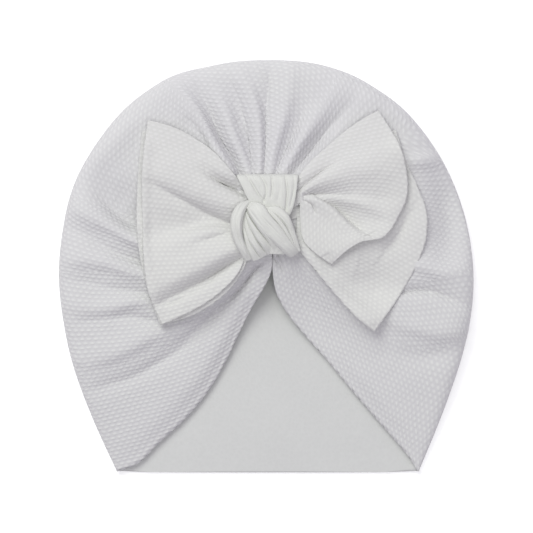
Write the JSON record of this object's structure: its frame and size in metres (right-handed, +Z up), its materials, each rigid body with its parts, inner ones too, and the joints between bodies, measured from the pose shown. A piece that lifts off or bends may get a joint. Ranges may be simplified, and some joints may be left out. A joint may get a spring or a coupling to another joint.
{
  "type": "turban hat",
  "caption": "Soft baby's turban cap of textured knit, lying on its back, with a gathered bow held by a knotted strap above a V-shaped face opening.",
  "frame": {"origin": "middle of the cap's outline, on the surface that it lies on", "axes": "+Z up, out of the front with the bow; +Y towards the top of the cap; -Y towards the hem and the face opening; the cap lies on its back"},
  "size_m": [0.1808, 0.18, 0.032],
  "materials": {
    "cap knit": "matt off-white bullet knit",
    "rear strip knit": "matt off-white bullet knit",
    "front strip knit": "matt off-white bullet knit",
    "strap knit": "matt off-white stretched knit"
  },
  "bodies": {
    "root": {"crown": "cap knit", "bow_rear": "rear strip knit", "bow_front": "front strip knit", "knot": "strap knit"}
  },
  "joints": []
}
